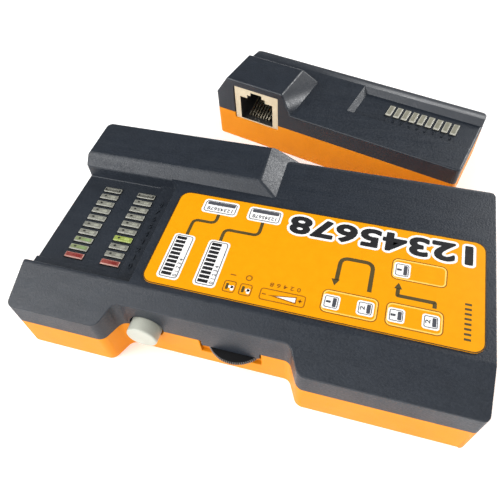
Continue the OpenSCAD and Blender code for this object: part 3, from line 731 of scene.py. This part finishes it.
# ---------------------------------------------------------------- button
def lathe(name, node, centre, axis_y, profile, mats, body, segs=72, mat_of=None):
    """profile: (radius, distance along +Y) in mm, closed on the axis at both ends when radius is 0."""
    bm = bmesh.new()
    rings = []
    for r, d in profile:
        if r < 1e-6:
            rings.append([bm.verts.new(centre + Vector((0, d * MM, 0)))])
        else:
            rings.append([bm.verts.new(centre + Vector((r * math.cos(t) * MM, d * MM, r * math.sin(t) * MM)))
                          for t in [2 * math.pi * i / segs for i in range(segs)]])
    for j in range(len(rings) - 1):
        A, B = rings[j], rings[j + 1]
        for i in range(segs):
            k = (i + 1) % segs
            if len(A) == 1:
                f = bm.faces.new([A[0], B[i], B[k]])
            elif len(B) == 1:
                f = bm.faces.new([A[i], B[0], A[k]])
            else:
                f = bm.faces.new([A[i], B[i], B[k], A[k]])
            f.material_index = mat_of(j) if mat_of else 0
    bmesh.ops.recalc_face_normals(bm, faces=bm.faces)
    return make(name, bm, mats, body, (node,))


b_lo, b_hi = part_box("power_button")
bc = Vector(((b_lo.x + b_hi.x) / 2, b_lo.y, (b_lo.z + b_hi.z) / 2))
br = (b_hi.x - b_lo.x) / 2 / MM
bl = (b_hi.y - b_lo.y) / MM
prof = [(0, 0.05), (2.0, 0.03), (br - 0.7, 0.0)]
for i in range(1, 7):
    t = math.radians(90 * i / 6)
    prof.append((br - 0.45 + 0.45 * math.sin(t), 0.45 - 0.45 * math.cos(t)))
prof += [(br, 2.0), (br, 6.25), (br - 0.1, 6.35), (br - 0.35, 6.35), (br - 0.35, bl - 0.1), (br - 0.45, bl), (2.7, bl), (2.7, 2.4), (0, 2.4)]
lathe("push_button", "power_button", bc, True, prof, ["button"], "button")


# ---------------------------------------------------------------- label print
class Print:
    """Thin raised ink on the front label, laid out in mm from the label's front left corner."""

    def __init__(self, name, mat, h):
        self.name, self.mat, self.h = name, mat, h
        self.bm = bmesh.new()

    def at(self, u, v, top=True):
        return Vector((lab_lo.x + u * MM, lab_lo.y + v * MM, lab_hi.z + (self.h * MM if top else 0.0)))

    def poly(self, pts):
        t = [self.bm.verts.new(self.at(*p)) for p in pts]
        self.bm.faces.new(t)
        b = [self.bm.verts.new(self.at(*p, top=False)) for p in pts]
        n = len(pts)
        for i in range(n):
            self.bm.faces.new([b[i], b[(i + 1) % n], t[(i + 1) % n], t[i]])

    def ring(self, outer, inner):
        n = len(outer)
        to = [self.bm.verts.new(self.at(*p)) for p in outer]
        ti = [self.bm.verts.new(self.at(*p)) for p in inner]
        bo = [self.bm.verts.new(self.at(*p, top=False)) for p in outer]
        bi = [self.bm.verts.new(self.at(*p, top=False)) for p in inner]
        for i in range(n):
            k = (i + 1) % n
            self.bm.faces.new([to[i], to[k], ti[k], ti[i]])
            self.bm.faces.new([bo[i], bo[k], to[k], to[i]])
            self.bm.faces.new([ti[i], ti[k], bi[k], bi[i]])

    def rrect(self, u0, v0, u1, v1, r):
        self.poly(rr_pts(u0, v0, u1, v1, r))

    def frame(self, u0, v0, u1, v1, r, w):
        self.ring(rr_pts(u0, v0, u1, v1, r), rr_pts(u0 + w, v0 + w, u1 - w, v1 - w, max(r - w, 0.05)))

    def path(self, pts, w, r):
        """Ribbon of width w along the points, with corners rounded by r."""
        line = round_path(pts, r)
        L, Rr = [], []
        for i, p in enumerate(line):
            a = line[max(i - 1, 0)]
            b = line[min(i + 1, len(line) - 1)]
            d = Vector((b[0] - a[0], b[1] - a[1])).normalized()
            n = Vector((-d.y, d.x)) * w / 2
            L.append((p[0] + n.x, p[1] + n.y))
            Rr.append((p[0] - n.x, p[1] - n.y))
        for i in range(len(line) - 1):
            self.poly([Rr[i], Rr[i + 1], L[i + 1], L[i]])

    def text(self, s, box, turn=0, bold=0.0, same_as=None, spread=0.0, copies=1):
        """Lettering scaled into box (u0, v0, u1, v1) after being turned by turn degrees.

        spread thickens every stroke by that many mm with copies shifted all round."""
        cu = bpy.data.curves.new("t", "FONT")
        cu.body = s
        cu.size = 1.0
        cu.offset = bold
        cu.resolution_u = 4
        cu.space_character = 1.06
        ob = bpy.data.objects.new("t", cu)
        bpy.context.scene.collection.objects.link(ob)
        bpy.context.view_layer.update()
        me = bpy.data.meshes.new_from_object(ob.evaluated_get(bpy.context.evaluated_depsgraph_get()))
        me.transform(Matrix.Rotation(math.radians(turn), 4, "Z"))
        xs = [v.co.x for v in me.vertices]
        ys = [v.co.y for v in me.vertices]
        if same_as is None:
            u0, v0, u1, v1 = box
            sx = (u1 - u0) / (max(xs) - min(xs))
            sy = (v1 - v0) / (max(ys) - min(ys))
            fit = (sx, sy, u0 - min(xs) * sx, v0 - min(ys) * sy)
        else:
            fit = same_as
        sx, sy, ou, ov = fit
        for c in range(copies):
            du = spread * math.cos(2 * math.pi * c / copies)
            dv = spread * math.sin(2 * math.pi * c / copies)
            vs = [self.bm.verts.new(self.at(v.co.x * sx + ou + du, v.co.y * sy + ov + dv)
                                    + Vector((0, 0, c * 2e-7))) for v in me.vertices]
            for p in me.polygons:
                idx = [vs[i] for i in p.vertices]
                if len(set(idx)) < 3:
                    continue
                try:
                    f = self.bm.faces.new(idx)
                except ValueError:
                    continue
                f.normal_update()
                if f.normal.z < 0:
                    f.normal_flip()
        bpy.data.objects.remove(ob)
        bpy.data.curves.remove(cu)
        bpy.data.meshes.remove(me)
        return fit

    def done(self):
        bmesh.ops.recalc_face_normals(self.bm, faces=[f for f in self.bm.faces if len(f.verts) == 4])
        return make(self.name, self.bm, [self.mat], "main", (), smooth=False)


def round_path(pts, r, n=7):
    out = [pts[0]]
    for i in range(1, len(pts) - 1):
        a, b, c = (Vector(p) for p in pts[i - 1:i + 2])
        u, v = (a - b), (c - b)
        rr = min(r, u.length * 0.49, v.length * 0.49)
        s, e = b + u.normalized() * rr, b + v.normalized() * rr
        for j in range(n + 1):
            t = j / n
            q = s * (1 - t) ** 2 + b * 2 * t * (1 - t) + e * t ** 2
            out.append((q.x, q.y))
    out.append(pts[-1])
    return out


white = Print("print_white", "white_ink", 0.030)
black = Print("print_black", "black_ink", 0.055)
grey = Print("print_grey", "grey_ink", 0.050)
olive = Print("print_olive", "olive_ink", 0.024)
brown = Print("print_brown", "brown_ink", 0.036)
pale = Print("print_pale", "pale_ink", 0.016)
edge = Print("print_edge", "edge_ink", 0.020)

LW, LH = (lab_hi.x - lab_lo.x) / MM, (lab_hi.y - lab_lo.y) / MM
edge.frame(0.0, 0.0, LW, LH, 2.6, 0.22)

# port panels
for (u0, u1, path) in (
        (6.75, 16.05, [(11.67, 23.4), (11.67, 20.2), (6.05, 20.2), (6.05, 15.0)]),
        (18.65, 27.4, [(23.1, 23.4), (23.1, 18.92), (14.62, 18.92), (14.62, 15.0)])):
    olive.path(path, 0.82, 1.5)
    white.rrect(u0, 23.15, u1, 27.7, 1.0)
    grey.frame(u0 + 0.5, 23.62, u1 - 0.5, 27.25, 0.75, 0.2)
    grey.rrect(u0 + 1.0, 25.95, u1 - 0.95, 26.98, 0.3)
    grey.text("12345678", (u0 + 1.35, 24.2, u1 - 1.35, 25.3), 180, 0.012)
# lamp panels
for u0 in (3.1, 12.0):
    white.rrect(u0, 1.85, u0 + 5.45, 15.15, 1.0)
    grey.frame(u0 + 0.48, 2.3, u0 + 4.98, 14.8, 0.75, 0.2)
    for i in range(10):
        c = 3.3 + i * 1.18
        black.poly([(u0 + 0.98, c - 0.42), (u0 + 3.42, c - 0.42), (u0 + 3.42, c + 0.42), (u0 + 0.98, c + 0.42)])
    grey.text("0 1 2 3 4", (u0 + 3.78, 2.85, u0 + 4.72, 8.0), 90, 0.012)
# push button marks
for (u0, pressed) in ((19.2, True), (22.95, False)):
    brown.frame(u0, 1.75, u0 + 2.85, 4.85, 0.6, 0.2)
    if pressed:
        brown.rrect(u0 + 0.75, 6.4, u0 + 2.1, 6.7, 0.1)
    else:
        brown.frame(u0 + 0.65, 5.75, u0 + 2.2, 7.3, 0.77, 0.26)
    # a fingertip pushing a cap
    olive.rrect(u0 + 0.55, 2.5, u0 + 1.15, 4.1, 0.2)
    gap = 0.05 if pressed else 0.3
    white.rrect(u0 + 1.1 + gap, 2.95, u0 + 2.4, 3.6, 0.3)
    white.rrect(u0 + 1.75, 2.35, u0 + 2.5, 3.7, 0.3)
# speed mark
brown.frame(27.7, 1.75, 37.95, 4.85, 0.7, 0.2)
brown.rrect(28.2, 3.15, 29.15, 3.42, 0.05)
brown.rrect(36.3, 3.15, 37.3, 3.42, 0.05)
brown.rrect(36.66, 2.79, 36.94, 3.78, 0.05)
brown.text("0 2 4 6 8", (29.4, 5.5, 36.4, 6.6), 180, 0.014)
brown.poly([(29.55, 3.2), (36.0, 2.35), (36.0, 4.15)])
Wd = Print("print_wedge", "white_ink", 0.048)
Wd.poly([(31.4, 3.22), (35.75, 2.65), (35.75, 3.85)])
Wd.done()


def icon(u0, v0, u1, v1, word):
    white.rrect(u0, v0, u1, v1, 0.65)
    grey.frame(u0 + 0.38, v0 + 0.38, u1 - 0.38, v1 - 0.38, 0.45, 0.17)
    cx = (u0 + u1) / 2
    grey.rrect(cx + 0.3, v0 + 0.72, cx + 1.12, v1 - 0.72, 0.2)
    half = 0.27 if word == "1" else 0.5
    cv = (v0 + v1) / 2
    grey.text(word, (cx - 1.15, cv - half, cx - 0.1, cv + half), 90, 0.02)


for (u0, v0, u1, v1) in ((41.15, 1.95, 53.4, 7.95), (54.95, 2.0, 66.9, 8.0), (54.95, 14.1, 67.05, 20.0)):
    pale.frame(u0 + 0.2, v0 + 0.2, u1 - 0.2, v1 - 0.2, 1.2, 0.34)
    brown.frame(u0, v0, u1, v1, 1.35, 0.22)
icon(41.5, 2.95, 45.25, 6.65, "1")
icon(48.85, 3.1, 52.55, 6.8, "2")
icon(55.4, 3.1, 59.0, 6.65, "1")
icon(62.5, 3.2, 66.1, 6.8, "2")
icon(55.45, 14.85, 59.1, 18.9, "1")
# cable arrows
olive.path([(50.92, 9.3), (50.92, 17.1), (43.55, 17.1), (43.5, 10.8)], 0.95, 1.9)
olive.poly([(42.35, 10.95), (43.25, 9.2), (44.2, 10.95)])
olive.path([(64.82, 8.5), (64.82, 9.9), (56.92, 9.9), (56.92, 11.75)], 0.85, 0.25)
olive.poly([(56.05, 11.65), (57.78, 11.65), (56.9, 13.3)])
# row of eight contacts
for i in range(8):
    olive.rrect(70.95, 2.4 + i * 1.22, 72.35, 2.92 + i * 1.22, 0.1)


# bold wire numbers with a pale outline
fit = black.text("12345678", (29.9, 21.8, 72.1, 27.1), 180, 0.015, spread=0.24, copies=10)
white.text("12345678", None, 180, 0.015, same_as=fit, spread=0.86, copies=20)
for p in (white, black, grey, olive, brown, pale, edge):
    p.done()


# ---------------------------------------------------------------- raised figures by the lamps
def figures(name, items, conv, z, h, size, turn, body):
    bm = bmesh.new()
    for s, cx, cy in items:
        cu = bpy.data.curves.new("t", "FONT")
        cu.body = s
        cu.size = 1.0
        cu.extrude = 0.5
        cu.offset = 0.02
        cu.resolution_u = 3
        cu.align_x = "CENTER"
        ob = bpy.data.objects.new("t", cu)
        bpy.context.scene.collection.objects.link(ob)
        bpy.context.view_layer.update()
        me = bpy.data.meshes.new_from_object(ob.evaluated_get(bpy.context.evaluated_depsgraph_get()))
        xs = [v.co.x for v in me.vertices]
        ys = [v.co.y for v in me.vertices]
        mx, my = (max(xs) + min(xs)) / 2, (max(ys) + min(ys)) / 2
        k = size / (max(ys) - min(ys))
        t = math.radians(turn)
        vs = []
        for v in me.vertices:
            a, b = (v.co.x - mx) * k, (v.co.y - my) * k
            x, y = a * math.cos(t) - b * math.sin(t), a * math.sin(t) + b * math.cos(t)
            vs.append(bm.verts.new(conv(cx + x, cy + y, z + (h if v.co.z > 0 else -0.05))))
        for p in me.polygons:
            try:
                bm.faces.new([vs[i] for i in p.vertices])
            except ValueError:
                pass
        bpy.data.objects.remove(ob)
        bpy.data.curves.remove(cu)
        bpy.data.meshes.remove(me)
    return make(name, bm, ["dark"], body, (), smooth=False)


marks = [(c, 24.4, LY0 + i * PITCH) for i, c in enumerate("012345678")]
figures("main_figures", marks, M, 17.9, 0.22, 1.5, 0, "main")
figures("remote_figures", [(c, RLX + i * RPITCH, 14.0) for i, c in enumerate("123456780")], R, 14.2, 0.2, 1.2, 0,
        "remote")

# ---------------------------------------------------------------- floor, light, camera
bm = bmesh.new()
S = 1.6
for v in ((-S, -S), (S, -S), (S, S), (-S, S)):
    bm.verts.new((v[0], v[1], 0.0))
bm.faces.new(bm.verts[:])
me = bpy.data.meshes.new("floor")
bm.to_mesh(me)
bm.free()
fm, nt, b, tc = mat_new("floor_pale")
fn = noise(nt, tc, 40, 4, 0.5)
nt.links.new(ramp(nt, fn, [(0.3, (0.93, 0.93, 0.93)), (0.7, (0.95, 0.95, 0.95))]), b.inputs["Base Color"])
b.inputs["Roughness"].default_value = 0.9
b.inputs["Specular IOR Level"].default_value = 0.1
b.inputs["Emission Color"].default_value = (1.0, 1.0, 1.0, 1)
b.inputs["Emission Strength"].default_value = 0.26
me.materials.append(fm)
floor = bpy.data.objects.new("floor", me)
bpy.context.scene.collection.objects.link(floor)

world = bpy.data.worlds.new("world")
bpy.context.scene.world = world
world.use_nodes = True
bg = world.node_tree.nodes["Background"]
bg.inputs[0].default_value = (1.0, 1.0, 1.0, 1)
wt = world.node_tree
wc = wt.nodes.new("ShaderNodeTexCoord")
wd = wt.nodes.new("ShaderNodeVectorMath")
wd.operation = "DOT_PRODUCT"
wd.inputs[1].default_value = (-0.20, 0.60, 0.78)        # dim side of the studio, up and behind
wt.links.new(wc.outputs["Generated"], wd.inputs[0])
wm = wt.nodes.new("ShaderNodeMapRange")
wm.interpolation_type = "SMOOTHSTEP"
wm.inputs["From Min"].default_value = 0.45
wm.inputs["From Max"].default_value = 0.95
wm.inputs["To Min"].default_value = 0.66
wm.inputs["To Max"].default_value = 0.14
wt.links.new(wd.outputs["Value"], wm.inputs["Value"])
wt.links.new(wm.outputs["Result"], bg.inputs[1])


def area(name, loc, target, size, power, color=(1, 1, 1)):
    l = bpy.data.lights.new(name, "AREA")
    l.shape = "RECTANGLE"
    l.size, l.size_y = size
    l.energy = power
    l.color = color
    o = bpy.data.objects.new(name, l)
    bpy.context.scene.collection.objects.link(o)
    o.location = loc
    o.rotation_mode = "QUATERNION"
    o.rotation_quaternion = (Vector(target) - Vector(loc)).to_track_quat("-Z", "Y")
    return o


area("front", (-0.10, -0.75, 0.40), (0, 0.02, 0), (0.9, 0.5), 3.6)
area("left", (-0.62, -0.42, 0.52), (-0.03, 0.0, 0), (0.45, 0.45), 4.2)
area("top", (-0.46, -0.06, 0.80), (0, 0.02, 0), (0.36, 0.36), 1.8)
area("side", (0.58, 0.66, 0.42), (0.01, 0.03, 0.01), (0.34, 0.34), 7.0)

cam = bpy.data.cameras.new("cam")
co = bpy.data.objects.new("cam", cam)
bpy.context.scene.collection.objects.link(co)
bpy.context.scene.camera = co
ROWS = ((0.9605562, 0.2732539, -0.0516150), (0.1902602, -0.7811385, -0.5946627), (-0.2028124, 0.5613867, -0.8023168))
rot = Matrix((ROWS[0], [-x for x in ROWS[1]], [-x for x in ROWS[2]])).transposed()
co.rotation_mode = "QUATERNION"
co.rotation_quaternion = rot.to_quaternion()
co.location = (0.022834, -0.070566, 0.114686)
cam.sensor_width = 36.0
cam.lens = 35.757
cam.shift_x = -0.00119
cam.shift_y = 0.0111
cam.clip_start, cam.clip_end = 0.005, 20
cam.dof.use_dof = False

vs = bpy.context.scene.view_settings
vs.view_transform = "Standard"
vs.look = "None"
vs.exposure = 0.0
vs.gamma = 1.0
